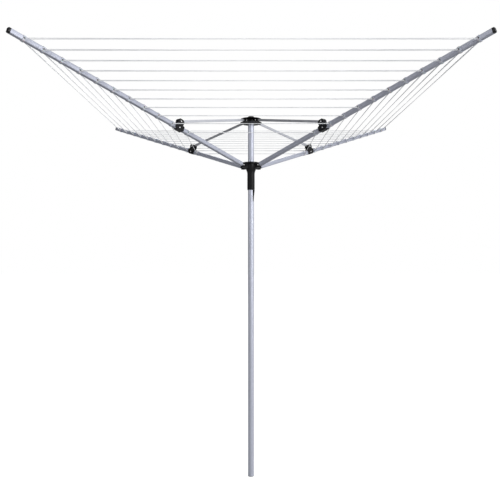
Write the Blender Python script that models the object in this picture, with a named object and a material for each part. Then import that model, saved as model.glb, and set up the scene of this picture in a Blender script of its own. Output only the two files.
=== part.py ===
"""A rotary clothesline: a steel mast, a top hub that turns on it, a runner that slides on it,
four arms with their struts, and one line threaded through the arms in eleven square rows.

Metres, +Z up. The origin is the middle of the mast's foot, and the front is -Y.
Each arm lies in an upright plane on a diagonal. In that plane, r is the distance from the
mast's axis and z is the height, and every arm's pieces are drawn once and turned into place.
"""

import math

import bmesh
import bpy
from mathutils import Matrix, Vector

# ---- driving dimensions -------------------------------------------------------------------

FIT_GAP = 0.0003            # between two pieces that touch
TURN_GAP = 0.0004           # between a piece that turns or slides and what holds it

MAST_DIAMETER = 0.035
MAST_WALL = 0.0015
MAST_TOP = 2.150

FOOT_FLANGE = 0.004
FOOT_SPIGOT = 0.028

TOP_PLUG_SPIGOT = 0.030
TOP_PLUG_FLANGE = 0.0012

HUB_RADIUS = 0.0655
HUB_FLOOR = 0.004           # the lower plate
HUB_ROOF = 0.0047           # the upper plate, which is domed
HUB_ROOF_EDGE = 0.0034      # the upper plate at its rim
HUB_CAP_BOSS = 0.0065       # how far the boss stands over the upper plate
HUB_ROOF_INSET = 0.002      # how much smaller the upper plate is
HUB_BOSS_WALL = 0.006
HUB_OVERLAP = 0.018         # how far the hub reaches down over the mast
HUB_WEB = 0.0045            # over the mast's end, under the screw
HUB_WELL_RADIUS = 0.0135
HUB_CHEEK = 0.0045
STRUT_PIVOT_RADIUS = 0.045  # from the mast's axis
STRUT_ROOM_BELOW = 0.004    # between a strut and the hub's lower plate
STRUT_ROOM_ABOVE = 0.0013   # between a strut and the hub's upper plate

HUB_CAP_RADIUS = 0.020
HUB_CAP_RISE = 0.008
HUB_CAP_SKIRT = 0.0045

SCREW_RADIUS = 0.0025
SCREW_REACH = 0.020         # into the plug
SCREW_HEAD_RADIUS = 0.006
SCREW_HEAD_HEIGHT = 0.0035
WASHER_RADIUS = 0.009
WASHER_THICKNESS = 0.001

RUNNER_DROP = 0.2545        # its top face, below the mast's end
RUNNER_PLATE_RADIUS = 0.050
RUNNER_PLATE = 0.007
RUNNER_BODY_RADIUS = 0.033
RUNNER_LUG_HEIGHT = 0.0355  # from the runner's top to the lugs' underside
RUNNER_LENGTH = 0.1655
RUNNER_FUNNEL = 0.0325      # height of the taper from the body to the sleeve
SLEEVE_WALL = 0.0045
SLEEVE_BEVEL = 0.0015
RUNNER_CHEEK = 0.0042
RUNNER_LUG_WEB = 0.005
ARM_PIVOT_RADIUS = 0.068    # from the mast's axis
ARM_PIVOT_DROP = 0.0195     # below the runner's top face
LUG_ROUND = 0.0085          # of the lugs' outer ends, about the arm's pivot

CATCH_AZIMUTH = -40.0       # degrees from +X
CATCH_WIDTH = 0.008
CATCH_HEIGHT = 0.0617       # from its pivot to its top
CATCH_PROUD = 0.008         # how far its shoulder stands out of the mast
CATCH_PIVOT_RADIUS = 0.010  # from the mast's axis
CATCH_BACK_RADIUS = 0.0065
CATCH_PIN_RADIUS = 0.0018
CATCH_FOOT_ROUND = 0.0045
CATCH_SLOT_ROOM = 0.003     # of the mast's slot, above and below the catch
SPRING_RADIUS = 0.0028
SPRING_WIRE = 0.0007
SPRING_TURNS = 5
SPRING_DROP = 0.014         # of the spring's axis, below the catch's top

ARM_RISE = 17.2             # degrees
ARM_LENGTH = 1.4815         # from its pivot to its tip
ARM_WIDTH = 0.022
ARM_HEIGHT = 0.024
ARM_WALL = 0.0012
ARM_CORNER = 0.004
ARM_ROOT_GAP = 0.012        # from the pivot to the tube's end
ROOT_TONGUE = 0.008         # thickness
ROOT_PLUG = 0.034
END_CAP = 0.012
END_CAP_PLUG = 0.018

BRACKET_AT = 0.5100         # the strut's pivot, along the arm from its own pivot
BRACKET_RISE = 0.036        # the strut's pivot, over the arm's axis
BRACKET_RIVET_BACK = 0.0    # the lower rivet, nearer the mast than the strut's pivot
BRACKET_HALF_LENGTH = 0.029
BRACKET_WALL = 0.003
BRACKET_EAR_BACK = 0.022
BRACKET_EAR_FRONT = 0.017
BRACKET_EAR_TOP = 0.012     # over the strut's pivot
BRACKET_SLOT_ROOM = 0.0035  # between a strut's end and the floor of its slot

STRUT_HEIGHT = 0.014
STRUT_THICKNESS = 0.006

RIVET_RADIUS = 0.003
RIVET_HEAD_RADIUS = 0.0068
RIVET_HEAD = 0.0022

ROWS = 11
FIRST_ROW_AT = 0.4475       # the innermost row's hole, along the arm, inside the bracket
SECOND_ROW_AT = 0.5598      # the next row's hole, outside the bracket
LAST_ROW_AT = 1.4076        # the outermost row's hole
LINE_DIAMETER = 0.003
LINE_HOLE_ROOM = 0.0025     # round the line, in the holes that it goes through

ROUND = 30                  # sides of the mast and its plugs
ROUND_MOULDING = 48         # sides of the hub, its cap and the runner
ROUND_LINE_HOLE = 6
ROUND_RIVET_HOLE = 10

ARMS = {"front_left": 225.0, "front_right": 315.0, "rear_right": 45.0, "rear_left": 135.0}

# ---- places that follow from them ---------------------------------------------------------

MAST_RADIUS = MAST_DIAMETER / 2
MAST_BORE = MAST_RADIUS - MAST_WALL
HUB_BOTTOM = MAST_TOP - HUB_OVERLAP
HUB_STRUT_HEIGHT = HUB_BOTTOM + HUB_FLOOR + STRUT_ROOM_BELOW + STRUT_HEIGHT / 2
HUB_ROOF_BOTTOM = HUB_STRUT_HEIGHT + STRUT_HEIGHT / 2 + STRUT_ROOM_ABOVE
HUB_ROOF_TOP = HUB_ROOF_BOTTOM + HUB_ROOF
HUB_TOP = HUB_ROOF_TOP + HUB_CAP_BOSS
HUB_BORE = MAST_RADIUS + TURN_GAP
PLUG_TOP = MAST_TOP + FIT_GAP + TOP_PLUG_FLANGE
HUB_CEILING = PLUG_TOP + TURN_GAP
WELL_FLOOR = HUB_CEILING + HUB_WEB
STRUT_TOP = Vector((STRUT_PIVOT_RADIUS, 0, HUB_STRUT_HEIGHT))
RUNNER_BORE = MAST_RADIUS + TURN_GAP + 0.0001
SLEEVE_RADIUS = RUNNER_BORE + SLEEVE_WALL
RUNNER_TOP = MAST_TOP - RUNNER_DROP
RUNNER_BOTTOM = RUNNER_TOP - RUNNER_LENGTH
LUG_BOTTOM = RUNNER_TOP - RUNNER_LUG_HEIGHT
ARM_ROOT = Vector((ARM_PIVOT_RADIUS, 0, RUNNER_TOP - ARM_PIVOT_DROP))
ARM_TILT = math.radians(ARM_RISE)
ARM_DIRECTION = Vector((math.cos(ARM_TILT), 0, math.sin(ARM_TILT)))
ARM_UP = Vector((-math.sin(ARM_TILT), 0, math.cos(ARM_TILT)))
STRUT_FOOT = ARM_ROOT + ARM_DIRECTION * BRACKET_AT + ARM_UP * BRACKET_RISE
STRUT_LENGTH = (STRUT_FOOT - STRUT_TOP).length
STRUT_TILT = math.atan2(STRUT_FOOT.z - STRUT_TOP.z, STRUT_FOOT.x - STRUT_TOP.x)
CATCH_PIVOT_HEIGHT = RUNNER_BOTTOM - FIT_GAP - CATCH_HEIGHT
LINE_HOLE_RADIUS = LINE_DIAMETER / 2 + LINE_HOLE_ROOM
ROW_STEP = (LAST_ROW_AT - SECOND_ROW_AT) / (ROWS - 2)
ROW_PLACES = [FIRST_ROW_AT] + [SECOND_ROW_AT + ROW_STEP * k for k in range(ROWS - 1)]


# ---- tools --------------------------------------------------------------------------------

def clear_scene():
    for found in list(bpy.data.objects):
        bpy.data.objects.remove(found, do_unlink=True)


def material(name, colour, roughness, metallic):
    made = bpy.data.materials.new(name)
    made.use_nodes = True
    shader = made.node_tree.nodes["Principled BSDF"]
    shader.inputs["Base Color"].default_value = (*colour, 1)
    shader.inputs["Roughness"].default_value = roughness
    shader.inputs["Metallic"].default_value = metallic
    return made


def to_mesh(bm, name):
    """A finished bmesh as a mesh, its faces pointing out."""
    bmesh.ops.recalc_face_normals(bm, faces=bm.faces)
    made = bpy.data.meshes.new(name)
    bm.to_mesh(made)
    bm.free()
    return made


def arc(centre_x, centre_z, radius, start, stop, steps):
    """Points on an arc, from one angle to another in degrees."""
    angles = [math.radians(start + (stop - start) * k / steps) for k in range(steps + 1)]
    return [(centre_x + radius * math.cos(a), centre_z + radius * math.sin(a)) for a in angles]


def rounded_rectangle(half_width, half_height, corner, steps=2):
    x, z = half_width - corner, half_height - corner
    return (arc(x, z, corner, 0, 90, steps) + arc(-x, z, corner, 90, 180, steps)
            + arc(-x, -z, corner, 180, 270, steps) + arc(x, -z, corner, 270, 360, steps))


def plate(outline, y0, y1, name="plate"):
    """An outline of (x, z) points, extruded along Y."""
    bm = bmesh.new()
    face = bm.faces.new([bm.verts.new((x, y0, z)) for x, z in outline])
    grown = bmesh.ops.extrude_face_region(bm, geom=[face])["geom"]
    corners = [v for v in grown if isinstance(v, bmesh.types.BMVert)]
    bmesh.ops.translate(bm, vec=(0, y1 - y0, 0), verts=corners)
    return to_mesh(bm, name)


def block(x0, x1, y0, y1, z0, z1):
    return plate([(x0, z0), (x1, z0), (x1, z1), (x0, z1)], y0, y1, "block")


def turned(profile, steps, name="turned"):
    """An outline of (r, z) points, spun about Z. It closes on itself unless it ends on the axis."""
    bm = bmesh.new()
    points = [bm.verts.new((r, 0, z)) for r, z in profile]
    on_axis = profile[0][0] == 0 and profile[-1][0] == 0
    last = len(points) - 1 if on_axis else len(points)
    edges = [bm.edges.new((points[k], points[(k + 1) % len(points)])) for k in range(last)]
    bmesh.ops.spin(bm, geom=points + edges, cent=(0, 0, 0), axis=(0, 0, 1), angle=math.tau,
                   steps=steps, use_merge=True)
    bmesh.ops.remove_doubles(bm, verts=bm.verts, dist=1e-6)
    return to_mesh(bm, name)


def rod(radius, y0, y1, x, z, steps=16):
    """A round rod along Y."""
    made = turned([(0, y0), (radius, y0), (radius, y1), (0, y1)], steps, "rod")
    made.transform(Matrix.Translation((x, 0, z)) @ Matrix.Rotation(-math.pi / 2, 4, "X"))
    return made


def helper(mesh, turn=0.0):
    """A hidden object that a Boolean reads, turned about Z by an angle in degrees."""
    made = bpy.data.objects.new("helper", mesh)
    made.rotation_euler = (0, 0, math.radians(turn))
    made.hide_render = True
    made.display_type = "WIRE"
    bpy.context.scene.collection.objects.link(made)
    return made


def carved(base, add=(), cut=(), name="carved"):
    """The base with some solids joined to it and then some cut from it, as a mesh of its own.
    Each solid is a mesh, or a mesh and the angle that it is turned by."""
    body = helper(base)
    helpers = []
    for operation, solids in (("UNION", add), ("DIFFERENCE", cut)):
        for solid in solids:
            mesh, turn = solid if isinstance(solid, tuple) else (solid, 0.0)
            helpers.append(helper(mesh, turn))
            step = body.modifiers.new(operation, "BOOLEAN")
            step.operation = operation
            step.solver = "EXACT"
            step.object = helpers[-1]
    bpy.context.view_layer.update()
    graph = bpy.context.evaluated_depsgraph_get()
    made = bpy.data.meshes.new_from_object(body.evaluated_get(graph))
    made.name = name
    for used in [body, *helpers]:
        bpy.data.objects.remove(used, do_unlink=True)
    return made


def place(name, mesh, finish, parent=None, location=(0, 0, 0), rotation=(0, 0, 0)):
    mesh.materials.clear()
    mesh.materials.append(finish)
    mesh.shade_smooth()
    mesh.set_sharp_from_angle(angle=math.radians(35))
    made = bpy.data.objects.new(name, mesh)
    made.parent = parent
    made.location = location
    made.rotation_euler = rotation
    bpy.context.scene.collection.objects.link(made)
    return made


def pivot(name, parent=None, location=(0, 0, 0), rotation=(0, 0, 0)):
    made = bpy.data.objects.new(name, None)
    made.parent = parent
    made.location = location
    made.rotation_euler = rotation
    bpy.context.scene.collection.objects.link(made)
    return made


def rivet_mesh(grip, radius):
    """A rivet along Y with a round head on each side of what it holds."""
    half = grip / 2 + FIT_GAP
    side = [(radius, half), (RIVET_HEAD_RADIUS, half),
            (RIVET_HEAD_RADIUS * 0.7, half + RIVET_HEAD * 0.8), (0, half + RIVET_HEAD)]
    made = turned([(r, -z) for r, z in reversed(side)] + side, 12, "rivet")
    made.transform(Matrix.Rotation(-math.pi / 2, 4, "X"))
    return made


# ---- the mast and its catch ---------------------------------------------------------------

def catch_outline():
    """The catch seen from its side, about its pivot: a wedge with a round foot and a shoulder.
    Its top is an arc about the pivot, so it swings clear of the runner that stands on it."""
    shoulder = MAST_RADIUS + CATCH_PROUD - CATCH_PIVOT_RADIUS
    back = CATCH_BACK_RADIUS - CATCH_PIVOT_RADIUS
    start = math.degrees(math.acos(shoulder / CATCH_HEIGHT))
    stop = math.degrees(math.acos(back / CATCH_HEIGHT))
    foot = arc(0, 0, CATCH_FOOT_ROUND, 180 + 40, 360, 6)
    toe = [(MAST_RADIUS - CATCH_PIVOT_RADIUS, 0.004)]
    top = arc(0, 0, CATCH_HEIGHT, start, stop, 6)
    shoulder_drop = [(shoulder, top[0][1] - 0.003)]
    return foot + toe + shoulder_drop + top + [(back, 0.0)]


def mast_mesh():
    bottom = FOOT_FLANGE + FIT_GAP
    tube = turned([(MAST_BORE, bottom), (MAST_RADIUS, bottom), (MAST_RADIUS, MAST_TOP),
                   (MAST_BORE, MAST_TOP)], ROUND, "mast_tube")
    half = CATCH_WIDTH / 2 + TURN_GAP
    low = CATCH_PIVOT_HEIGHT - CATCH_FOOT_ROUND - CATCH_SLOT_ROOM
    high = CATCH_PIVOT_HEIGHT + CATCH_HEIGHT + CATCH_SLOT_ROOM
    slot = block(CATCH_PIVOT_RADIUS, MAST_DIAMETER, -half, half, low, high)
    pin_hole = rod(CATCH_PIN_RADIUS + FIT_GAP, -MAST_DIAMETER, MAST_DIAMETER,
                   CATCH_PIVOT_RADIUS, CATCH_PIVOT_HEIGHT, 12)
    return carved(tube, cut=[(slot, CATCH_AZIMUTH), (pin_hole, CATCH_AZIMUTH)], name="mast_tube")


def make_mast(finish):
    place("mast_tube", mast_mesh(), finish["silver"])
    spigot = MAST_BORE - FIT_GAP
    foot_top = FOOT_FLANGE + FOOT_SPIGOT
    foot = turned([(0, 0), (MAST_RADIUS, 0), (MAST_RADIUS, FOOT_FLANGE), (spigot, FOOT_FLANGE),
                   (spigot, foot_top), (0, foot_top)], ROUND, "mast_foot_plug")
    place("mast_foot_plug", foot, finish["grey"])
    flange_bottom = MAST_TOP + FIT_GAP
    hole = SCREW_RADIUS + FIT_GAP
    hole_bottom = PLUG_TOP - SCREW_REACH - FIT_GAP
    plug = turned([(0, MAST_TOP - TOP_PLUG_SPIGOT), (spigot, MAST_TOP - TOP_PLUG_SPIGOT),
                   (spigot, flange_bottom), (MAST_RADIUS, flange_bottom), (MAST_RADIUS, PLUG_TOP),
                   (hole, PLUG_TOP), (hole, hole_bottom), (0, hole_bottom)], ROUND, "mast_top_plug")
    place("mast_top_plug", plug, finish["black"])


def make_hub_screw(finish):
    washer_bottom = WELL_FLOOR + FIT_GAP
    washer_top = washer_bottom + WASHER_THICKNESS
    washer_hole = SCREW_RADIUS + FIT_GAP
    washer = turned([(washer_hole, washer_bottom), (WASHER_RADIUS, washer_bottom),
                     (WASHER_RADIUS, washer_top), (washer_hole, washer_top)], 20, "hub_washer")
    place("hub_washer", washer, finish["steel"])
    head_bottom = washer_top + FIT_GAP
    head_top = head_bottom + SCREW_HEAD_HEIGHT
    screw = turned([(0, PLUG_TOP - SCREW_REACH), (SCREW_RADIUS, PLUG_TOP - SCREW_REACH),
                    (SCREW_RADIUS, head_bottom), (SCREW_HEAD_RADIUS, head_bottom),
                    (SCREW_HEAD_RADIUS, head_top - 0.001), (SCREW_HEAD_RADIUS - 0.0015, head_top),
                    (0, head_top)], 16, "hub_screw")
    place("hub_screw", screw, finish["steel"])


def make_catch(finish):
    turn = math.radians(CATCH_AZIMUTH)
    across = Vector((math.cos(turn), math.sin(turn), 0))
    joint = pivot("catch_pivot", location=across * CATCH_PIVOT_RADIUS
                  + Vector((0, 0, CATCH_PIVOT_HEIGHT)), rotation=(0, 0, turn))
    half = CATCH_WIDTH / 2
    hole = rod(CATCH_PIN_RADIUS + FIT_GAP, -CATCH_WIDTH, CATCH_WIDTH, 0, 0, 12)
    place("latch_catch", carved(plate(catch_outline(), -half, half), cut=[hole]),
          finish["black"], joint)
    clear_of_bore = CATCH_PIVOT_RADIUS + CATCH_PIN_RADIUS / 2
    reach = math.sqrt(MAST_RADIUS ** 2 - clear_of_bore ** 2) - 2 * FIT_GAP
    place("latch_pin", rod(CATCH_PIN_RADIUS, -reach, reach, 0, 0, 12), finish["steel"], joint)
    height = CATCH_PIVOT_HEIGHT + CATCH_HEIGHT - SPRING_DROP
    wall = math.sqrt(MAST_BORE ** 2 - (SPRING_RADIUS + SPRING_WIRE) ** 2)
    start = CATCH_BACK_RADIUS - SPRING_WIRE / 2 - FIT_GAP
    stop = SPRING_WIRE / 2 + FIT_GAP - wall
    points_a_turn = 8
    count = SPRING_TURNS * points_a_turn
    coil = []
    for k in range(count + 1):
        angle = math.tau * k / points_a_turn
        along = start + (stop - start) * k / count
        coil.append((along, SPRING_RADIUS * math.cos(angle), SPRING_RADIUS * math.sin(angle)))
    spring = cord_object("latch_spring", coil, SPRING_WIRE, finish["steel"], resolution=1)
    spring.rotation_euler = (0, 0, turn)
    spring.location = (0, 0, height)


# ---- the hub and the runner ---------------------------------------------------------------

def hub_mesh():
    roof_bottom, roof_top = HUB_ROOF_BOTTOM, HUB_ROOF_TOP
    roof_edge = roof_bottom + HUB_ROOF_EDGE
    roof_radius = HUB_RADIUS - HUB_ROOF_INSET
    boss = HUB_BORE + HUB_BOSS_WALL
    screw_hole = SCREW_RADIUS + 2 * FIT_GAP
    edge = 0.0012
    profile = [
        (HUB_BORE, HUB_BOTTOM), (HUB_RADIUS - edge, HUB_BOTTOM), (HUB_RADIUS, HUB_BOTTOM + edge),
        (HUB_RADIUS, HUB_BOTTOM + HUB_FLOOR), (boss, HUB_BOTTOM + HUB_FLOOR),
        (boss, roof_bottom), (roof_radius, roof_bottom), (roof_radius, roof_edge - edge / 2),
        (roof_radius - edge, roof_edge), (roof_radius * 0.7, roof_top - edge),
        (HUB_CAP_RADIUS + edge, roof_top), (HUB_CAP_RADIUS - edge / 2, roof_top + edge),
        (HUB_CAP_RADIUS - edge / 2, HUB_TOP), (HUB_WELL_RADIUS, HUB_TOP),
        (HUB_WELL_RADIUS, WELL_FLOOR), (screw_hole, WELL_FLOOR), (screw_hole, HUB_CEILING),
        (HUB_BORE, HUB_CEILING),
    ]
    half = STRUT_THICKNESS / 2 + TURN_GAP
    wide = half + HUB_CHEEK
    low, high = HUB_BOTTOM + HUB_FLOOR / 2, roof_bottom + HUB_ROOF_EDGE / 3
    slot_start, slot_top = STRUT_PIVOT_RADIUS - STRUT_HEIGHT, roof_bottom - 0.0003
    below, beyond = HUB_BOTTOM - 0.01, HUB_RADIUS + 0.01
    ribs, cuts = [], []
    for turn in ARMS.values():
        ribs.append((block(boss - 0.002, roof_radius - edge, -wide, wide, low, high), turn))
        cuts.append((block(slot_start, beyond, -half, half, below, slot_top), turn))
        cuts.append((rod(RIVET_RADIUS + FIT_GAP, -HUB_RADIUS / 3, HUB_RADIUS / 3,
                         STRUT_TOP.x, STRUT_TOP.z, ROUND_RIVET_HOLE), turn))
    return carved(turned(profile, ROUND_MOULDING), ribs, cuts, "top_hub")


def hub_cap_mesh():
    bottom = HUB_TOP + FIT_GAP
    top = bottom + HUB_CAP_RISE
    skirt = HUB_WELL_RADIUS - FIT_GAP
    skirt_bottom = HUB_TOP - HUB_CAP_SKIRT
    hollow = skirt - 0.002
    profile = [(0, bottom), (hollow, bottom), (hollow, skirt_bottom), (skirt, skirt_bottom),
               (skirt, bottom), (HUB_CAP_RADIUS, bottom), (HUB_CAP_RADIUS, top - 0.003),
               (HUB_CAP_RADIUS - 0.002, top - 0.0012), (HUB_CAP_RADIUS * 0.5, top - 0.0002),
               (0, top)]
    return turned(profile, ROUND_MOULDING, "hub_cap")


def runner_mesh():
    plate_bottom = RUNNER_TOP - RUNNER_PLATE
    funnel_bottom = LUG_BOTTOM + 0.004 - RUNNER_FUNNEL
    flare = RUNNER_BODY_RADIUS - SLEEVE_RADIUS
    profile = [
        (RUNNER_BORE, RUNNER_BOTTOM), (SLEEVE_RADIUS - SLEEVE_BEVEL, RUNNER_BOTTOM),
        (SLEEVE_RADIUS, RUNNER_BOTTOM + 3 * SLEEVE_BEVEL), (SLEEVE_RADIUS, funnel_bottom),
        (SLEEVE_RADIUS + 0.2 * flare, funnel_bottom + 0.25 * RUNNER_FUNNEL),
        (SLEEVE_RADIUS + 0.5 * flare, funnel_bottom + 0.5 * RUNNER_FUNNEL),
        (RUNNER_BODY_RADIUS, funnel_bottom + RUNNER_FUNNEL),
        (RUNNER_BODY_RADIUS, plate_bottom), (RUNNER_PLATE_RADIUS, plate_bottom),
        (RUNNER_PLATE_RADIUS, RUNNER_TOP - 0.001), (RUNNER_PLATE_RADIUS - 0.001, RUNNER_TOP),
        (RUNNER_BORE, RUNNER_TOP),
    ]
    px, pz = ARM_ROOT.x, ARM_ROOT.z
    inner = RUNNER_BODY_RADIUS - 0.003
    shoulder = RUNNER_PLATE_RADIUS - 0.001
    outline = ([(inner, LUG_BOTTOM), (px + LUG_ROUND - 0.003, LUG_BOTTOM),
                (px + LUG_ROUND, LUG_BOTTOM + 0.003)]
               + arc(px, pz, LUG_ROUND, 0, 90, 5)
               + [(shoulder, pz + LUG_ROUND), (shoulder, plate_bottom + 0.002),
                  (inner, plate_bottom + 0.002)])
    half = ROOT_TONGUE / 2 + TURN_GAP
    wide = half + RUNNER_CHEEK
    slot_start = px - LUG_ROUND - ROOT_TONGUE
    slot_floor = LUG_BOTTOM + RUNNER_LUG_WEB
    lugs, cuts = [], []
    for turn in ARMS.values():
        lugs.append((plate(outline, -wide, wide), turn))
        cuts.append((block(slot_start, px + 0.02, -half, half, slot_floor, plate_bottom - 0.001),
                     turn))
        cuts.append((rod(RIVET_RADIUS + FIT_GAP, -RUNNER_BODY_RADIUS / 2, RUNNER_BODY_RADIUS / 2,
                         px, pz, ROUND_RIVET_HOLE), turn))
    return carved(turned(profile, ROUND_MOULDING), lugs, cuts, "runner")


def make_hub_and_runner(finish):
    place("top_hub", hub_mesh(), finish["black"])
    place("hub_cap", hub_cap_mesh(), finish["black"])
    place("runner", runner_mesh(), finish["black"])
    hub_rivet = rivet_mesh(STRUT_THICKNESS + 2 * TURN_GAP + 2 * HUB_CHEEK, RIVET_RADIUS)
    runner_rivet = rivet_mesh(ROOT_TONGUE + 2 * TURN_GAP + 2 * RUNNER_CHEEK, RIVET_RADIUS)
    for side, turn in ARMS.items():
        frame = pivot(f"plane_{side}", rotation=(0, 0, math.radians(turn)))
        place(f"hub_rivet_{side}", hub_rivet, finish["steel"], frame, STRUT_TOP)
        place(f"runner_rivet_{side}", runner_rivet, finish["steel"], frame, ARM_ROOT)


# ---- one arm: its pivot is the local origin, +X runs along it and +Z is its upper side ------

def tube_mesh():
    """A box tube with round corners, drilled for the line's rows and for the bracket's rivet."""
    bm = bmesh.new()
    loops = []
    for inset, corner in ((0, ARM_CORNER), (ARM_WALL, ARM_CORNER - ARM_WALL)):
        outline = rounded_rectangle(ARM_WIDTH / 2 - inset, ARM_HEIGHT / 2 - inset, corner)
        ring = [bm.verts.new((ARM_ROOT_GAP, y, z)) for y, z in outline]
        loops += [bm.edges.new((ring[k - 1], ring[k])) for k in range(len(ring))]
    end = bmesh.ops.bridge_loops(bm, edges=loops)["faces"]
    grown = bmesh.ops.extrude_face_region(bm, geom=end)["geom"]
    corners = [v for v in grown if isinstance(v, bmesh.types.BMVert)]
    length = ARM_LENGTH - END_CAP - FIT_GAP - ARM_ROOT_GAP
    bmesh.ops.translate(bm, vec=(length, 0, 0), verts=corners)
    cuts = [rod(LINE_HOLE_RADIUS, -ARM_WIDTH, ARM_WIDTH, x, 0, ROUND_LINE_HOLE)
            for x in ROW_PLACES]
    cuts.append(rod(RIVET_RADIUS + FIT_GAP, -ARM_WIDTH, ARM_WIDTH,
                    BRACKET_AT - BRACKET_RIVET_BACK, 0, ROUND_RIVET_HOLE))
    return carved(to_mesh(bm, "arm_tube"), cut=cuts, name="arm_tube")


def root_fitting_mesh():
    """A plug in the arm's end with a flat tongue that turns on the runner's rivet."""
    eye = arc(0, 0, LUG_ROUND, 90, 270, 8)
    reach = ARM_ROOT_GAP + ROOT_PLUG / 2
    tongue = plate(eye + [(reach, -LUG_ROUND), (reach, LUG_ROUND)],
                   -ROOT_TONGUE / 2, ROOT_TONGUE / 2)
    room = ARM_WALL + FIT_GAP
    y, z = ARM_WIDTH / 2 - room, ARM_HEIGHT / 2 - room
    plug = block(-z, z, ARM_ROOT_GAP, ARM_ROOT_GAP + ROOT_PLUG, -y, y)
    plug.transform(Matrix(((0, 1, 0, 0), (0, 0, 1, 0), (1, 0, 0, 0), (0, 0, 0, 1))))
    hole = rod(RIVET_RADIUS + FIT_GAP, -ROOT_TONGUE, ROOT_TONGUE, 0, 0, ROUND_RIVET_HOLE)
    return carved(bevelled(plug, ARM_CORNER - ARM_WALL + FIT_GAP), [tongue], [hole], "arm_root_fitting")


def bevelled(mesh, width, segments=2):
    """A mesh with all its edges rounded."""
    bm = bmesh.new()
    bm.from_mesh(mesh)
    bmesh.ops.bevel(bm, geom=bm.edges[:], offset=width, segments=segments, profile=0.5,
                    affect="EDGES", material=-1)
    return to_mesh(bm, mesh.name)


def end_cap_mesh():
    """The arm's tip: a round-edged cap with a plug that sits in the tube."""
    start = ARM_LENGTH - END_CAP
    bm = bmesh.new()
    outline = rounded_rectangle(ARM_WIDTH / 2, ARM_HEIGHT / 2, ARM_CORNER)
    face = bm.faces.new([bm.verts.new((start, y, z)) for y, z in outline])
    for step, share in ((END_CAP * 0.7, 1.0), (END_CAP * 0.3, 0.8)):
        grown = bmesh.ops.extrude_face_region(bm, geom=[face])["geom"]
        face = next(f for f in grown if isinstance(f, bmesh.types.BMFace))
        corners = [v for v in grown if isinstance(v, bmesh.types.BMVert)]
        bmesh.ops.translate(bm, vec=(step, 0, 0), verts=corners)
        bmesh.ops.scale(bm, vec=(1, share, share), verts=corners)
    inside = [f for f in bm.faces if abs(f.calc_center_median().x - start - END_CAP * 0.7) < 1e-6
              and abs(f.normal.x) > 0.9]
    bmesh.ops.delete(bm, geom=inside, context="FACES_ONLY")
    room = ARM_WALL + FIT_GAP
    y, z = ARM_WIDTH / 2 - room, ARM_HEIGHT / 2 - room
    plug = block(start - END_CAP_PLUG, start + 0.002, -y, y, -z, z)
    return carved(to_mesh(bm, "end_cap"), [bevelled(plug, ARM_CORNER - ARM_WALL + FIT_GAP)], name="arm_end_cap")


def bracket_mesh():
    """A sleeve round the arm with two ears above it for the strut's end."""
    foot = BRACKET_AT - BRACKET_RIVET_BACK
    side = ARM_WIDTH / 2 + FIT_GAP + BRACKET_WALL
    low = -ARM_HEIGHT / 2 - FIT_GAP - BRACKET_WALL
    high = -low
    back, front = foot - BRACKET_HALF_LENGTH, foot + BRACKET_HALF_LENGTH
    ear_top = BRACKET_RISE + BRACKET_EAR_TOP
    ear_back, ear_front = BRACKET_AT - BRACKET_EAR_BACK, BRACKET_AT + BRACKET_EAR_FRONT
    outline = [(back + 0.006, low), (front - 0.014, low), (front, low + 0.008), (front, high),
               (ear_front, high + 0.003), (ear_front, ear_top - 0.007),
               (ear_front - 0.006, ear_top), (ear_back + 0.013, ear_top),
               (ear_back + 0.004, ear_top - 0.006), (ear_back, BRACKET_RISE - 0.001),
               (ear_back + 0.002, BRACKET_RISE - 0.009), (ear_back + 0.004, high + 0.002),
               (back, high - 0.001),
               (back, low + 0.006)]
    arm_y, arm_z = ARM_WIDTH / 2 + FIT_GAP, ARM_HEIGHT / 2 + FIT_GAP
    slot = STRUT_THICKNESS / 2 + TURN_GAP
    floor = BRACKET_RISE - STRUT_HEIGHT / 2 - BRACKET_SLOT_ROOM
    cuts = [
        block(back - 0.01, front + 0.01, -arm_y, arm_y, -arm_z, arm_z),
        block(back - 0.01, front + 0.02, -slot, slot, floor, ear_top + 0.01),
        rod(RIVET_RADIUS + FIT_GAP, -ARM_WIDTH, ARM_WIDTH, foot, 0, ROUND_RIVET_HOLE),
        rod(RIVET_RADIUS + FIT_GAP, -ARM_WIDTH, ARM_WIDTH, BRACKET_AT, BRACKET_RISE,
            ROUND_RIVET_HOLE),
    ]
    return carved(plate(outline, -side, side), cut=cuts, name="bracket")


def strut_mesh():
    """A flat bar with round ends, from its upper pivot along +X to its lower one."""
    end = STRUT_HEIGHT / 2
    outline = arc(0, 0, end, 90, 270, 8) + arc(STRUT_LENGTH, 0, end, -90, 90, 8)
    half = STRUT_THICKNESS / 2
    holes = [rod(RIVET_RADIUS + FIT_GAP, -STRUT_THICKNESS, STRUT_THICKNESS, x, 0, ROUND_RIVET_HOLE)
             for x in (0, STRUT_LENGTH)]
    return carved(plate(outline, -half, half), cut=holes, name="strut")


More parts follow.
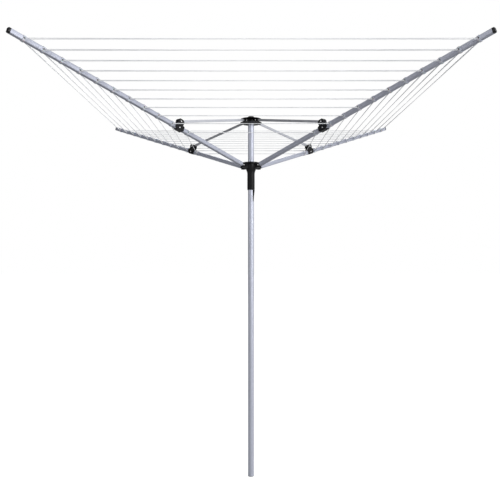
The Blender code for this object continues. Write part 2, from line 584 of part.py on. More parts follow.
def make_arms(finish):
    bracket_width = ARM_WIDTH + 2 * (FIT_GAP + BRACKET_WALL)
    pieces = {
        "arm_tube": (tube_mesh(), "silver"),
        "arm_root_fitting": (root_fitting_mesh(), "black"),
        "arm_end_cap": (end_cap_mesh(), "black"),
        "bracket": (bracket_mesh(), "black"),
    }
    rivets = {
        "bracket_rivet": (BRACKET_AT - BRACKET_RIVET_BACK, 0),
        "strut_rivet": (BRACKET_AT, BRACKET_RISE),
    }
    long_rivet = rivet_mesh(bracket_width, RIVET_RADIUS)
    strut = strut_mesh()
    for side, turn in ARMS.items():
        frame = bpy.data.objects[f"plane_{side}"]
        root = pivot(f"arm_{side}", frame, ARM_ROOT, (0, -ARM_TILT, 0))
        for name, (mesh, colour) in pieces.items():
            place(f"{name}_{side}", mesh, finish[colour], root)
        for name, (along, rise) in rivets.items():
            place(f"{name}_{side}", long_rivet, finish["steel"], root, (along, 0, rise))
        place(f"strut_{side}", strut, finish["strut"], frame, STRUT_TOP, (0, -STRUT_TILT, 0))


# ---- the line -----------------------------------------------------------------------------

def cord_object(name, points, diameter, finish, resolution=2):
    curve = bpy.data.curves.new(name, "CURVE")
    curve.dimensions = "3D"
    curve.bevel_depth = diameter / 2
    curve.bevel_resolution = resolution
    curve.use_fill_caps = True
    spline = curve.splines.new("POLY")
    spline.points.add(len(points) - 1)
    for point, (x, y, z) in zip(spline.points, points):
        point.co = (x, y, z, 1)
    curve.materials.append(finish)
    made = bpy.data.objects.new(name, curve)
    bpy.context.scene.collection.objects.link(made)
    return made


def in_arm(turn, along, side, lift=0.0):
    """A place in an arm's tube: its distance along the arm, across it and over its axis."""
    flat = ARM_ROOT + ARM_DIRECTION * along + Vector((0, side, lift))
    return Matrix.Rotation(math.radians(turn), 4, "Z") @ flat


def line_points():
    """One line through all the rows. In the rear left arm it steps on to the next row, and it
    starts and ends there, inside the tube."""
    first = list(ARMS).index("rear_left")
    turns = list(ARMS.values())
    around = [turns[(first + k) % len(turns)] for k in range(1, len(turns))]
    home = turns[first]
    half = ARM_WIDTH / 2
    inner = half * 0.3
    bend = half - inner
    rivet = BRACKET_AT - BRACKET_RIVET_BACK
    over = RIVET_RADIUS + LINE_DIAMETER
    points = []
    for along in ROW_PLACES:
        level = ARM_ROOT.z + ARM_DIRECTION.z * along

        def at(turn, inward, side):
            place_in = in_arm(turn, along + inward / ARM_DIRECTION.x, side)
            return (place_in.x, place_in.y, level)

        points += [at(home, bend, inner), at(home, 0, half)]
        for turn in around:
            points += [at(turn, 0, -half), at(turn, bend, -inner), at(turn, bend, inner),
                       at(turn, 0, half)]
        points += [at(home, 0, -half), at(home, bend, -inner)]
        if along < rivet < along + ROW_STEP:
            points += [tuple(in_arm(home, rivet + step, 0, over)) for step in (-over, over)]
    return points


def build():
    clear_scene()
    finish = {
        "silver": material("satin_silver_tube", (0.56, 0.58, 0.66), 0.38, 0.75),
        "strut": material("grey_strut", (0.30, 0.31, 0.34), 0.42, 0.6),
        "black": material("black_plastic", (0.012, 0.012, 0.014), 0.4, 0.0),
        "grey": material("grey_plastic", (0.42, 0.44, 0.46), 0.5, 0.0),
        "steel": material("bright_steel", (0.8, 0.8, 0.82), 0.25, 1.0),
        "line": material("grey_line", (0.55, 0.56, 0.57), 0.55, 0.0),
    }
    make_mast(finish)
    make_hub_screw(finish)
    make_catch(finish)
    make_hub_and_runner(finish)
    make_arms(finish)
    cord_object("clothes_line", line_points(), LINE_DIAMETER, finish["line"])


build()
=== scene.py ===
"""The looks of a rotary clothesline: the finishes of its metal and plastic, its line and clips."""

import math

import bmesh
import bpy
from bpy.props import FloatProperty, FloatVectorProperty, IntProperty, PointerProperty
from mathutils import Matrix, Vector


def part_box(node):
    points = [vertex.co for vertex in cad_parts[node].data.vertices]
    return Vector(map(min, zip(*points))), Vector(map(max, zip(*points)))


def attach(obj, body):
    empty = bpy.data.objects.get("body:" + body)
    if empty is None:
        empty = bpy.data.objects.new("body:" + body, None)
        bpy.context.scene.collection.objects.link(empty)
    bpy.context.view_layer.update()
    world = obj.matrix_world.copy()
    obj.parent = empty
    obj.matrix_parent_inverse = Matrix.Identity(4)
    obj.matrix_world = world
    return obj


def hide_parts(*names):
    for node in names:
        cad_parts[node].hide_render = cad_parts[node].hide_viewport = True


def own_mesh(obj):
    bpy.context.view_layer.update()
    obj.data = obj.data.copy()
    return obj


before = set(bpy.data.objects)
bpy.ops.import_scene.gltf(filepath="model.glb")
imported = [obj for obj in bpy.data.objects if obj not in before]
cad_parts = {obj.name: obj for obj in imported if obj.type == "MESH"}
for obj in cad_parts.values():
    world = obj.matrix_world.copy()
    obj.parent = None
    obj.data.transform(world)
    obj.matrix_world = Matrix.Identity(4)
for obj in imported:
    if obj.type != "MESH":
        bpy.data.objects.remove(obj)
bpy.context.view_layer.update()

bl_info = {
    "name": "Rotary Clothesline",
    "version": (1, 0, 0),
    "blender": (4, 5, 0),
    "location": "3D View > Sidebar > Clothesline",
    "description": "Builds the finishes, the line and the clips of a rotary clothesline",
    "category": "Object",
}

# The arms, by name, with the direction of each over the ground in degrees from +X.
ARMS = {"front_left": 225.0, "front_right": 315.0, "rear_right": 45.0, "rear_left": 135.0}
NEXT_ARM = {"front_left": "front_right", "front_right": "rear_right",
            "rear_right": "rear_left", "rear_left": "front_left"}

# The arm, as it is made: its rise over level, its section, and the holes for the line.
ARM_RISE = math.radians(17.2)
ARM_WIDTH = 0.022
ARM_HEIGHT = 0.024
ARM_CORNER = 0.004
ROWS = 11
FIRST_ROW_AT = 0.4475
SECOND_ROW_AT = 0.5598
LAST_ROW_AT = 1.4076
FOLDED_RISE = math.radians(89.0)

# The rivets, and the eyelets of the clips.
RIVET_HEAD = 0.0022         # height of a head
RIVET_SHANK = 0.003         # radius
RIVET_RIM = 0.0004          # the straight side of a head, under its dome
RIVET_DOME_STEPS = 6
CLIP_FIT = 0.0002           # between a clip and its arm
# The eyelet's hole is no hole: a flat disc in painted shade, of this radius, stands for it.
EYELET_PAINTED_HOLE = 0.0040        # radius
EYELET_RIM = 0.0056         # radius
EYELET_LIP = 0.0004         # width of the ring's slopes

# The line: the steps of half a span, how far it reaches into its arm as a share of the arm's
# half width, and how far it hangs down when the arms are folded, as a share of its length.
SPAN_STEPS = 8
REACH_IN = 0.7
DROP_SHARE = 0.5

CAMERA_OFFSET = -0.006      # of the camera to the mast's left


def centre(node):
    low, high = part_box(node)
    return (Vector(low) + Vector(high)) / 2


ROOT = centre("runner_rivet_front_left")
ARM_ROOT = Vector((math.hypot(ROOT.x, ROOT.y), 0, ROOT.z))
ARM_ALONG = Vector((math.cos(ARM_RISE), 0, math.sin(ARM_RISE)))
ROW_STEP = (LAST_ROW_AT - SECOND_ROW_AT) / (ROWS - 2)
ROW_PLACES = [FIRST_ROW_AT] + [SECOND_ROW_AT + ROW_STEP * k for k in range(ROWS - 1)]


# ---- settings -----------------------------------------------------------------------------

class MetalSettings(bpy.types.PropertyGroup):
    """Colours of the tubes, struts and rivets."""
    tube: FloatVectorProperty(name="Tube", description="Colour of the mast and the arms",
                              subtype="COLOR", default=(0.50, 0.52, 0.60), min=0, max=1)
    strut: FloatVectorProperty(name="Strut", description="Colour of the struts",
                               subtype="COLOR", default=(0.60, 0.61, 0.64), min=0, max=1)
    # The rivets' near-white colour is painted reflection: bright steel heads given a diffuse white
    # that stands for their glint.
    rivet: FloatVectorProperty(name="Rivet", description="Colour of rivets and screws",
                               subtype="COLOR", default=(0.98, 0.98, 0.98), min=0, max=1)
    edge: FloatProperty(name="Edge", description="Rounding of the metal's edges",
                        unit="LENGTH", default=0.0005, min=0.0001, max=0.002)


class PlasticSettings(bpy.types.PropertyGroup):
    """Colours of the moulded pieces."""
    black: FloatVectorProperty(name="Black", description="Colour of hub, runner and brackets",
                               subtype="COLOR", default=(0.0050, 0.0050, 0.0058), min=0, max=1)
    foot: FloatVectorProperty(name="Foot", description="Colour of the plug in the mast's foot",
                              subtype="COLOR", default=(0.30, 0.32, 0.33), min=0, max=1)
    edge: FloatProperty(name="Edge", description="Rounding of the moulded edges",
                        unit="LENGTH", default=0.0007, min=0.0001, max=0.003)


class LineSettings(bpy.types.PropertyGroup):
    """The clothes line."""
    diameter: FloatProperty(name="Diameter", description="Thickness of the line",
                            unit="LENGTH", default=0.003, min=0.001, max=0.006)
    sag: FloatProperty(name="Sag", description="Drop at mid-span, as a share of the span",
                       default=0.0012, min=0, max=0.02)
    colour: FloatVectorProperty(name="Colour", description="Colour of the line's coating",
                                subtype="COLOR", default=(0.74, 0.75, 0.76), min=0, max=1)
    gather: FloatProperty(name="Gather", description="Distance of the folded line's loops from "
                          "the mast's axis", unit="LENGTH", default=0.085, min=0.05, max=0.2)


class ClipSettings(bpy.types.PropertyGroup):
    """The clips that lead the line through the arms."""
    length: FloatProperty(name="Length", description="Length of a clip along its arm",
                          unit="LENGTH", default=0.012, min=0.008, max=0.03)
    wall: FloatProperty(name="Wall", description="Thickness of a clip", unit="LENGTH",
                        default=0.0022, min=0.0005, max=0.003)
    colour: FloatVectorProperty(name="Colour", description="Colour of the clips",
                                subtype="COLOR", default=(0.54, 0.56, 0.61), min=0, max=1)


class StageSettings(bpy.types.PropertyGroup):
    """The camera and the studio."""
    lens: FloatProperty(name="Lens", description="Focal length", subtype="DISTANCE_CAMERA",
                        default=42.9, min=20, max=120)
    distance: FloatProperty(name="Distance", description="From the camera to the mast",
                            unit="LENGTH", default=3.607, min=1, max=10)
    height: FloatProperty(name="Height", description="Of the camera over the mast's foot",
                          unit="LENGTH", default=1.367, min=0, max=4)
    key_power: FloatProperty(name="Key light", description="Power of the key light",
                             subtype="POWER", default=1250, min=0, max=9000)
    floor_size: IntProperty(name="Floor", description="Side of the floor in metres",
                            default=60, min=10, max=200)


class AirerSettings(bpy.types.PropertyGroup):
    """All the settings of the clothesline."""
    metal: PointerProperty(type=MetalSettings)
    plastic: PointerProperty(type=PlasticSettings)
    line: PointerProperty(type=LineSettings)
    clip: PointerProperty(type=ClipSettings)
    stage: PointerProperty(type=StageSettings)


def settings():
    return bpy.context.scene.airer


# ---- materials ----------------------------------------------------------------------------

def grained(name, colour, roughness, metallic=0.0, scale=60.0, stretch=(1, 1, 1), turn=(0, 0, 0),
            tint=0.06, rough_shift=0.08, bump=0.05, relief=0.0002, **sockets):
    """A surface whose colour, gloss and relief follow one grain, which may be drawn out
    along one direction as on a drawn tube."""
    if name in bpy.data.materials:
        return bpy.data.materials[name]
    made = bpy.data.materials.new(name)
    made.use_nodes = True
    nodes, links = made.node_tree.nodes, made.node_tree.links
    skin = nodes["Principled BSDF"]
    skin.inputs["Metallic"].default_value = metallic
    for socket, value in sockets.items():
        skin.inputs[socket.replace("_", " ")].default_value = value

    place = nodes.new("ShaderNodeTexCoord")
    spread = nodes.new("ShaderNodeMapping")
    spread.inputs["Rotation"].default_value = turn
    draw = nodes.new("ShaderNodeMapping")
    draw.inputs["Scale"].default_value = stretch
    grain = nodes.new("ShaderNodeTexNoise")
    grain.inputs["Scale"].default_value = scale
    grain.inputs["Detail"].default_value = 5.0
    grain.inputs["Roughness"].default_value = 0.6
    links.new(place.outputs["Object"], spread.inputs["Vector"])
    links.new(spread.outputs["Vector"], draw.inputs["Vector"])
    links.new(draw.outputs["Vector"], grain.inputs["Vector"])

    patch = nodes.new("ShaderNodeTexNoise")
    patch.inputs["Scale"].default_value = scale / 12
    patch.inputs["Detail"].default_value = 2.0
    links.new(place.outputs["Object"], patch.inputs["Vector"])
    both = nodes.new("ShaderNodeMath")
    both.operation = "ADD"
    links.new(grain.outputs["Fac"], both.inputs[0])
    links.new(patch.outputs["Fac"], both.inputs[1])
    share = nodes.new("ShaderNodeMapRange")
    share.inputs["From Min"].default_value = 0.6
    share.inputs["From Max"].default_value = 1.4
    links.new(both.outputs["Value"], share.inputs["Value"])

    shade = nodes.new("ShaderNodeMix")
    shade.data_type = "RGBA"
    shade.inputs[6].default_value = (*[c * (1 - tint) for c in colour], 1)
    shade.inputs[7].default_value = (*[min(1.0, c * (1 + tint)) for c in colour], 1)
    links.new(share.outputs["Result"], shade.inputs[0])
    links.new(shade.outputs[2], skin.inputs["Base Color"])

    gloss = nodes.new("ShaderNodeMapRange")
    gloss.inputs["To Min"].default_value = roughness - rough_shift
    gloss.inputs["To Max"].default_value = roughness + rough_shift
    links.new(share.outputs["Result"], gloss.inputs["Value"])
    links.new(gloss.outputs["Result"], skin.inputs["Roughness"])

    raised = nodes.new("ShaderNodeBump")
    raised.inputs["Strength"].default_value = bump
    raised.inputs["Distance"].default_value = relief
    links.new(grain.outputs["Fac"], raised.inputs["Height"])
    links.new(raised.outputs["Normal"], skin.inputs["Normal"])
    return made


def satin_tube(side=None):
    """Drawn silver tube, its fine lines running along the mast or along one arm; an arm's copy is
    darker, as painted shade.
    """
    tube = settings().metal.tube
    if side is None:
        return grained("satin_mast_tube", tube, 0.45, 0.5, 700, (1, 1, 0.01), bump=0.04)
    away = Matrix.Rotation(ARM_RISE, 4, "Y") @ Matrix.Rotation(-math.radians(ARMS[side]), 4, "Z")
    # The arms take nine tenths of the tube colour: painted shade, to dim the key light that falls
    # more brightly on them than on the mast.
    return grained(f"satin_arm_tube_shaded_copy_{side}", [0.9 * c for c in tube], 0.46, 0.45, 700,
                   (0.01, 1, 1),
                   away.to_euler("XYZ"), bump=0.04)


def strut_metal():
    return grained("grey_strut_metal", settings().metal.strut, 0.35, 0.97, 500, bump=0.04)


def rivet_metal_painted_glint():
    # Steel painted near white and barely metallic: the white stands for the heads' reflected
    # glint, a painted highlight.
    return grained("rivet_steel_painted_glint", settings().metal.rivet, 0.38, 0.1, 900, tint=0.02,
                   bump=0.03)


def spring_metal():
    return grained("spring_steel", (0.55, 0.55, 0.57), 0.3, 1.0, 900)


def black_plastic():
    return grained("black_moulded_plastic", settings().plastic.black, 0.40, 0.0, 1400, tint=0.25,
                   rough_shift=0.06, bump=0.06, relief=0.00005, Specular_IOR_Level=0.26)


def foot_plastic():
    return grained("grey_foot_plastic", settings().plastic.foot, 0.5, 0.0, 700, tint=0.08)


def clip_plastic():
    return grained("pale_clip_plastic", settings().clip.colour, 0.38, 0.0, 600, tint=0.04,
                   bump=0.06, relief=0.00008, Subsurface_Weight=0.1, Subsurface_Scale=0.002)


def eyelet_hole_shade_paint():
    # Near black, painted as the shade inside the line's hole, on a closed disc.
    return grained("painted_hole_shade_plastic", (0.03, 0.03, 0.04), 0.45, 0.0, 600, tint=0.2)


def line_coating():
    return grained("grey_line_coating", settings().line.colour, 0.42, 0.0, 500, tint=0.06,
                   rough_shift=0.1, bump=0.15, relief=0.0001)


# ---- tools --------------------------------------------------------------------------------

def piece(name, bm, finishes, body, smooth=35):
    """A finished bmesh as a piece that rides on a body."""
    made = bpy.data.meshes.new(name)
    bm.to_mesh(made)
    bm.free()
    for finish in finishes:
        made.materials.append(finish)
    made.shade_smooth()
    made.set_sharp_from_angle(angle=math.radians(smooth))
    thing = bpy.data.objects.new(name, made)
    bpy.context.scene.collection.objects.link(thing)
    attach(thing, body)
    return thing


def refined(node, name, finish, body, edge):
    """A CAD piece with its loose triangles joined, its flat faces whole and its edges rounded."""
    bm = bmesh.new()
    bm.from_mesh(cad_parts[node].data)
    bmesh.ops.remove_doubles(bm, verts=bm.verts, dist=1e-6)
    bmesh.ops.dissolve_limit(bm, angle_limit=math.radians(0.4), verts=bm.verts, edges=bm.edges,
                             delimit=set())
    made = piece(name, bm, [finish], body)
    if edge:
        rounded = made.modifiers.new("rounded edges", "BEVEL")
        rounded.width = edge
        rounded.segments = 2
        rounded.limit_method = "ANGLE"
        rounded.angle_limit = math.radians(32)
        rounded.use_clamp_overlap = True
        rounded.harden_normals = False
    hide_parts(node)
    return made


def in_arm(side, along, across, over=0.0):
    """A place on an arm: along it from its pivot, across it and over its axis."""
    up = Vector((-ARM_ALONG.z, 0, ARM_ALONG.x))
    flat = ARM_ROOT + ARM_ALONG * along + up * over + Vector((0, across, 0))
    return Matrix.Rotation(math.radians(ARMS[side]), 4, "Z") @ flat


def arm_matrix(side, along):
    """The place and turn of an arm at one distance from its pivot."""
    spin = Matrix.Rotation(math.radians(ARMS[side]), 4, "Z")
    return (spin @ Matrix.Translation(ARM_ROOT + ARM_ALONG * along)
            @ Matrix.Rotation(-ARM_RISE, 4, "Y"))


def rounded_outline(half_width, half_height, corner, steps):
    """Points round a rectangle with round corners."""
    points = []
    for turn, (sx, sy) in enumerate(((1, 1), (-1, 1), (-1, -1), (1, -1))):
        for k in range(steps + 1):
            angle = math.radians(90 * (turn + k / steps))
            points.append((sx * (half_width - corner) + corner * math.cos(angle),
                           sy * (half_height - corner) + corner * math.sin(angle)))
    return points


# ---- the pieces ---------------------------------------------------------------------------

class AIRER_OT_mast(bpy.types.Operator):
    """Finish the mast, its plugs and its catch"""
    bl_idname = "airer.mast"
    bl_label = "Mast"

    def execute(self, context):
        metal, plastic = settings().metal, settings().plastic
        refined("mast_tube", "mast_tube_drawn", satin_tube(), "mast", metal.edge / 2)
        refined("mast_foot_plug", "mast_foot", foot_plastic(), "mast",
                plastic.edge)
        refined("mast_top_plug", "mast_bearing_plug", black_plastic(), "mast", 0)
        refined("latch_catch", "sprung_catch", black_plastic(), "catch",
                plastic.edge)
        refined("latch_pin", "catch_pin", spring_metal(), "mast", 0)
        spring = refined("latch_spring", "catch_spring", spring_metal(), "mast",
                         0)
        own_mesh(spring)
        refined("hub_washer", "hub_screw_washer", rivet_metal_painted_glint(), "mast", 0)
        refined("hub_screw", "hub_fixing_screw", rivet_metal_painted_glint(), "mast", 0)
        return {"FINISHED"}


class AIRER_OT_hub(bpy.types.Operator):
    """Finish the top hub, its cap and the runner"""
    bl_idname = "airer.hub"
    bl_label = "Hub and runner"

    def execute(self, context):
        edge = settings().plastic.edge
        refined("top_hub", "hub_moulding", black_plastic(), "hub", edge)
        refined("hub_cap", "hub_cap_moulding", black_plastic(), "hub", edge)
        refined("runner", "runner_moulding", black_plastic(), "runner", edge)
        return {"FINISHED"}


class AIRER_OT_arms(bpy.types.Operator):
    """Finish the four arms with their fittings, caps, brackets and struts"""
    bl_idname = "airer.arms"
    bl_label = "Arms"

    def execute(self, context):
        metal, plastic = settings().metal, settings().plastic
        for side in ARMS:
            body = f"arm_{side}"
            refined(f"arm_tube_{side}", f"arm_{side}_tube", satin_tube(side), body,
                    metal.edge / 2)
            refined(f"arm_root_fitting_{side}", f"arm_{side}_root", black_plastic(), body,
                    plastic.edge)
            refined(f"arm_end_cap_{side}", f"arm_{side}_cap", black_plastic(), body,
                    plastic.edge)
            refined(f"bracket_{side}", f"arm_{side}_bracket", black_plastic(), body,
                    plastic.edge)
            refined(f"strut_{side}", f"strut_{side}_bar", strut_metal(), f"strut_{side}",
                    metal.edge * 2)
        return {"FINISHED"}


class AIRER_OT_rivets(bpy.types.Operator):
    """Make the round-headed rivets"""
    bl_idname = "airer.rivets"
    bl_label = "Rivets"

    def execute(self, context):
        for side in ARMS:
            for kind, body in (("hub_rivet", "hub"), ("runner_rivet", "runner"),
                               ("bracket_rivet", f"arm_{side}"), ("strut_rivet", f"arm_{side}")):
                self.rivet(side, f"{kind}_{side}", body)
        return {"FINISHED"}

    def rivet(self, side, node, body):
        low, high = (Vector(corner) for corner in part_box(node))
        middle = (low + high) / 2
        head_radius = (high.z - low.z) / 2
        turn = math.radians(ARMS[side] + 90)
        reach = (high.x - low.x) - 2 * head_radius * abs(math.sin(turn))
        half = reach / (2 * abs(math.cos(turn)))
        grip = half - RIVET_HEAD
        profile = [(0, -half)]
        for k in range(1, RIVET_DOME_STEPS + 1):
            angle = math.radians(90 * k / RIVET_DOME_STEPS)
            profile.append((head_radius * math.sin(angle) * 0.97,
                            -grip - RIVET_RIM - (RIVET_HEAD - RIVET_RIM) * math.cos(angle)))
        profile += [(head_radius, -grip), (RIVET_SHANK, -grip)]
        bm = bmesh.new()
        both = profile + [(r, -z) for r, z in reversed(profile)]
        points = [bm.verts.new((r, 0, z)) for r, z in both]
        edges = [bm.edges.new(pair) for pair in zip(points, points[1:])]
        bmesh.ops.spin(bm, geom=points + edges, cent=(0, 0, 0), axis=(0, 0, 1), angle=math.tau,
                       steps=28, use_merge=True, use_duplicate=False)
        bmesh.ops.remove_doubles(bm, verts=bm.verts, dist=1e-6)
        bmesh.ops.recalc_face_normals(bm, faces=bm.faces)
        across = Vector((math.cos(turn), math.sin(turn), 0))
        place = Matrix.Translation(middle) @ across.to_track_quat("Z", "Y").to_matrix().to_4x4()
        bmesh.ops.transform(bm, matrix=place, verts=bm.verts)
        made = piece(f"{node}_round_head", bm, [rivet_metal_painted_glint()], body)
        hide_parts(node)


class AIRER_OT_clips(bpy.types.Operator):
    """Make the clip round each arm at every row, with an eyelet on each side whose closed middle
    is painted shade for the line's hole
    """
    bl_idname = "airer.clips"
    bl_label = "Line clips"

    def execute(self, context):
        for side in ARMS:
            for row, along in enumerate(ROW_PLACES, 1):
                self.clip(side, row, along)
        return {"FINISHED"}

    def clip(self, side, row, along):
        clip = settings().clip
        half = clip.length / 2
        bm = bmesh.new()
        edges = []
        for grow in (CLIP_FIT, clip.wall):
            outline = rounded_outline(ARM_WIDTH / 2 + grow, ARM_HEIGHT / 2 + grow,
                                      ARM_CORNER + grow, 4)
            ring = [bm.verts.new((-half, y, z)) for y, z in outline]
            bmesh.ops.remove_doubles(bm, verts=ring, dist=1e-7)
            ring = [v for v in ring if v.is_valid]
            edges += [bm.edges.new((ring[k - 1], ring[k])) for k in range(len(ring))]
        faces = bmesh.ops.bridge_loops(bm, edges=edges)["faces"]
        grown = bmesh.ops.extrude_face_region(bm, geom=faces)["geom"]
        moved = [v for v in grown if isinstance(v, bmesh.types.BMVert)]
        bmesh.ops.translate(bm, vec=(clip.length, 0, 0), verts=moved)
        bmesh.ops.recalc_face_normals(bm, faces=bm.faces)
        corners = [e for e in bm.edges if len(e.link_faces) == 2
                   and e.calc_face_angle(0) > math.radians(60)]
        bmesh.ops.bevel(bm, geom=corners, offset=clip.wall * 0.3, segments=2, profile=0.5,
                        affect="EDGES", material=-1)
        for hand in (-1, 1):
            self.eyelet(bm, hand, ARM_WIDTH / 2 + clip.wall)
        bmesh.ops.transform(bm, matrix=arm_matrix(side, along), verts=bm.verts)
        piece(f"clip_{side}_{row}", bm, [clip_plastic(), eyelet_hole_shade_paint()], f"arm_{side}")

    def eyelet(self, bm, hand, wall):
        """A raised ring round the line's hole, closed by a flat disc in painted shade that stands
        for the hole.
        """
        before = set(bm.verts)
        profile = [(0.0, 0.0002), (EYELET_PAINTED_HOLE, 0.0002), (EYELET_PAINTED_HOLE + EYELET_LIP, 0.0008),
                   (EYELET_RIM - EYELET_LIP, 0.0009), (EYELET_RIM, 0.0003),
                   (EYELET_RIM, -0.0004)]
        points = [bm.verts.new((r, 0, z)) for r, z in profile]
        edges = [bm.edges.new(pair) for pair in zip(points, points[1:])]
        bmesh.ops.spin(bm, geom=points + edges, cent=(0, 0, 0), axis=(0, 0, 1), angle=math.tau,
                       steps=16, use_merge=True, use_duplicate=False)
        bmesh.ops.remove_doubles(bm, verts=[v for v in bm.verts if v not in before], dist=1e-6)
        ring = [v for v in bm.verts if v not in before]
        faces = {f for v in ring for f in v.link_faces}
        bmesh.ops.recalc_face_normals(bm, faces=list(faces))
        # The disc and the lip's inner slope get the near-black finish: painted shade where the
        # line's hole would be.
        for face in faces:
            in_painted_hole = face.calc_center_median().xy.length < EYELET_PAINTED_HOLE + EYELET_LIP
            face.material_index = 1 if in_painted_hole else 0
        place = (Matrix.Translation((0, hand * wall, 0))
                 @ Matrix.Rotation(-hand * math.pi / 2, 4, "X"))
        bmesh.ops.transform(bm, matrix=place, verts=ring)


class AIRER_OT_line(bpy.types.Operator):
    """Make the line, as the stretches from each clip to the middle of its side"""
    bl_idname = "airer.line"
    bl_label = "Line"

    def execute(self, context):
        for side, following in NEXT_ARM.items():
            for row, along in enumerate(ROW_PLACES, 1):
                self.stretch(side, 1, row, along)
                self.stretch(following, -1, row, along)
        return {"FINISHED"}

    def stretch(self, side, hand, row, along):
        """Half a span: it starts in its arm's tube and ends at the middle of the side."""
        line = settings().line
        half = ARM_WIDTH / 2
        level = (ARM_ROOT + ARM_ALONG * along).z
        start = in_arm(side, along, hand * half)
        spin = Matrix.Rotation(math.radians(ARMS[side]), 4, "Z")
        radial = spin @ Vector((1, 0, 0))
        across = spin @ Vector((0, hand, 0))
        run = (start - Vector((0, 0, start.z))).dot(radial) - half
        end = start + (across - radial) * run
        end.z = start.z = level
        points = [start - (across - radial) * half * REACH_IN]
        for k in range(SPAN_STEPS + 1):
            share = k / SPAN_STEPS
            at = start.lerp(end, share)
            at.z = level - line.sag * run * 2 * math.sqrt(2) * (1 - (1 - share) ** 2)
            points.append(at)
        made = self.tube(f"line_{side}_{'left' if hand > 0 else 'right'}_{row}", points,
                         line.diameter)
        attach(made, f"arm_{side}")
        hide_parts("clothes_line")
        self.gather(made, side, start, end, radial, across, line.gather)

    def tube(self, name, points, diameter):
        curve = bpy.data.curves.new(name, "CURVE")
        curve.dimensions = "3D"
        curve.bevel_depth = diameter / 2
        curve.bevel_resolution = 2
        curve.use_fill_caps = True
        spline = curve.splines.new("POLY")
        spline.points.add(len(points) - 1)
        for point, place in zip(spline.points, points):
            point.co = (*place, 1)
        drawn = bpy.data.objects.new(name + "_path", curve)
        bpy.context.scene.collection.objects.link(drawn)
        bpy.context.view_layer.update()
        graph = bpy.context.evaluated_depsgraph_get()
        mesh = bpy.data.meshes.new_from_object(drawn.evaluated_get(graph))
        bpy.data.objects.remove(drawn, do_unlink=True)
        mesh.name = name
        mesh.materials.clear()
        mesh.materials.append(line_coating())
        mesh.shade_smooth()
        made = bpy.data.objects.new(name, mesh)
        bpy.context.scene.collection.objects.link(made)
        return made

    def gather(self, made, side, start, end, radial, across, folded_at):
        """Work out how far the stretch would have to flatten for the folded arms, hanging down
        beside the mast with its end meeting the next stretch's end; raise if the share it keeps is
        out of range, and give it its own mesh."""
        along = (start - ARM_ROOT.x * radial).dot(radial) / math.cos(ARM_RISE)
        arm_at = ARM_ROOT.x + along * math.cos(FOLDED_RISE)
        meet = folded_at / math.sqrt(2)
        side_step = meet - ARM_WIDTH / 2
        rest = end - start
        unfold = Matrix.Rotation(ARM_RISE - FOLDED_RISE, 2)
        flat = unfold @ Vector((meet - arm_at, -DROP_SHARE * rest.length))
        goal = radial * flat.x + Vector((0, 0, flat.y)) + across * side_step
        gone = rest - goal
        keep = 1 - gone.length_squared / rest.dot(gone)
        if not 0 < keep <= 1:
            raise ValueError(f"{made.name} can't be gathered: it would keep {keep:.3f}")
        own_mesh(made)


# ---- the stage ----------------------------------------------------------------------------

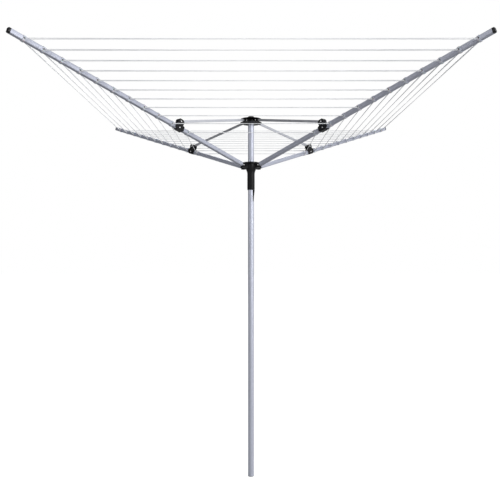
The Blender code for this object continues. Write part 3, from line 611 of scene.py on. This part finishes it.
class AIRER_OT_stage(bpy.types.Operator):
    """Set the floor, the lights, the world and the camera"""
    bl_idname = "airer.stage"
    bl_label = "Stage"

    def execute(self, context):
        stage = settings().stage
        self.floor(stage.floor_size)
        self.light("key", (9.6, -9.8, 5.0), 7.0, stage.key_power)
        self.light("fill", (-10.8, -9.0, 6.0), 8.0, stage.key_power * 0.42)
        self.light("back", (1.5, 12.0, 8.0), 9.0, stage.key_power * 0.5)
        self.world(context.scene)
        self.camera(context.scene, stage)
        context.scene.view_settings.view_transform = "Standard"
        return {"FINISHED"}

    def floor(self, size):
        bm = bmesh.new()
        bmesh.ops.create_grid(bm, x_segments=1, y_segments=1, size=size / 2)
        bmesh.ops.translate(bm, vec=(0, 0, -0.001), verts=bm.verts)
        made = bpy.data.meshes.new("floor")
        bm.to_mesh(made)
        bm.free()
        made.materials.append(self.paper())
        floor = bpy.data.objects.new("floor", made)
        bpy.context.scene.collection.objects.link(floor)

    def paper(self):
        """White paper lit from below to the eye, and dim to the metal over it."""
        paper = grained("white_studio_paper", (0.36, 0.36, 0.36), 0.9, 0.0, 3, tint=0.003,
                        bump=0.0)
        nodes, links = paper.node_tree.nodes, paper.node_tree.links
        glow = nodes.new("ShaderNodeEmission")
        glow.inputs["Color"].default_value = (1, 1, 1, 1)
        glow.inputs["Strength"].default_value = 0.85
        lit = nodes.new("ShaderNodeAddShader")
        links.new(nodes["Principled BSDF"].outputs["BSDF"], lit.inputs[0])
        links.new(glow.outputs["Emission"], lit.inputs[1])
        ray = nodes.new("ShaderNodeLightPath")
        seen = nodes.new("ShaderNodeMixShader")
        links.new(ray.outputs["Is Camera Ray"], seen.inputs["Fac"])
        links.new(nodes["Principled BSDF"].outputs["BSDF"], seen.inputs[1])
        links.new(lit.outputs["Shader"], seen.inputs[2])
        links.new(seen.outputs["Shader"], nodes["Material Output"].inputs["Surface"])
        return paper

    def light(self, name, place, size, power):
        lamp = bpy.data.lights.new(name, "AREA")
        lamp.shape = "DISK"
        lamp.size = size
        lamp.energy = power
        made = bpy.data.objects.new(name, lamp)
        made.location = place
        aim = Vector((0, 0, 1.3)) - Vector(place)
        made.rotation_euler = aim.to_track_quat("-Z", "Y").to_euler()
        bpy.context.scene.collection.objects.link(made)

    def world(self, scene):
        """White to the camera, and a soft grey room, darker on the left, to the metal."""
        world = bpy.data.worlds.new("studio")
        world.use_nodes = True
        nodes, links = world.node_tree.nodes, world.node_tree.links
        shown = nodes["Background"]
        shown.inputs["Color"].default_value = (1, 1, 1, 1)
        shown.inputs["Strength"].default_value = 1.0
        room = nodes.new("ShaderNodeBackground")
        room.inputs["Strength"].default_value = 1.0
        way = nodes.new("ShaderNodeTexCoord")
        split = nodes.new("ShaderNodeSeparateXYZ")
        links.new(way.outputs["Generated"], split.inputs["Vector"])
        ramp = nodes.new("ShaderNodeValToRGB")
        ramp.color_ramp.elements[0].position = 0.1
        ramp.color_ramp.elements[0].color = (0.07, 0.07, 0.08, 1)
        ramp.color_ramp.elements[1].position = 0.9
        ramp.color_ramp.elements[1].color = (0.85, 0.86, 0.9, 1)
        share = nodes.new("ShaderNodeMapRange")
        share.inputs["From Min"].default_value = -1
        links.new(split.outputs["X"], share.inputs["Value"])
        links.new(share.outputs["Result"], ramp.inputs["Fac"])
        links.new(ramp.outputs["Color"], room.inputs["Color"])
        ray = nodes.new("ShaderNodeLightPath")
        both = nodes.new("ShaderNodeMixShader")
        links.new(ray.outputs["Is Camera Ray"], both.inputs["Fac"])
        links.new(room.outputs["Background"], both.inputs[1])
        links.new(shown.outputs["Background"], both.inputs[2])
        links.new(both.outputs["Shader"], nodes["World Output"].inputs["Surface"])
        scene.world = world

    def camera(self, scene, stage):
        lens = bpy.data.cameras.new("camera")
        lens.lens = stage.lens
        lens.sensor_width = 36
        made = bpy.data.objects.new("camera", lens)
        made.location = (CAMERA_OFFSET, -stage.distance, stage.height)
        made.rotation_euler = (math.pi / 2, 0, 0)
        scene.collection.objects.link(made)
        scene.camera = made


class AIRER_PT_panel(bpy.types.Panel):
    """The clothesline's pieces and their settings"""
    bl_label = "Rotary Clothesline"
    bl_idname = "AIRER_PT_panel"
    bl_space_type = "VIEW_3D"
    bl_region_type = "UI"
    bl_category = "Clothesline"

    def draw(self, context):
        airer = context.scene.airer
        for group in (airer.metal, airer.plastic, airer.line, airer.clip, airer.stage):
            box = self.layout.box()
            for name in group.__annotations__:
                box.prop(group, name)
        for step in STEPS:
            self.layout.operator(step.bl_idname)


STEPS = (AIRER_OT_stage, AIRER_OT_mast, AIRER_OT_hub, AIRER_OT_arms, AIRER_OT_rivets,
         AIRER_OT_clips, AIRER_OT_line)
CLASSES = (MetalSettings, PlasticSettings, LineSettings, ClipSettings, StageSettings,
           AirerSettings, *STEPS, AIRER_PT_panel)


def register():
    for item in CLASSES:
        bpy.utils.register_class(item)
    bpy.types.Scene.airer = PointerProperty(type=AirerSettings)


def unregister():
    del bpy.types.Scene.airer
    for item in reversed(CLASSES):
        bpy.utils.unregister_class(item)


def main():
    register()
    bpy.ops.airer.stage()
    bpy.ops.airer.mast()
    bpy.ops.airer.hub()
    bpy.ops.airer.arms()
    bpy.ops.airer.rivets()
    bpy.ops.airer.clips()
    bpy.ops.airer.line()


if __name__ == "__main__":
    main()
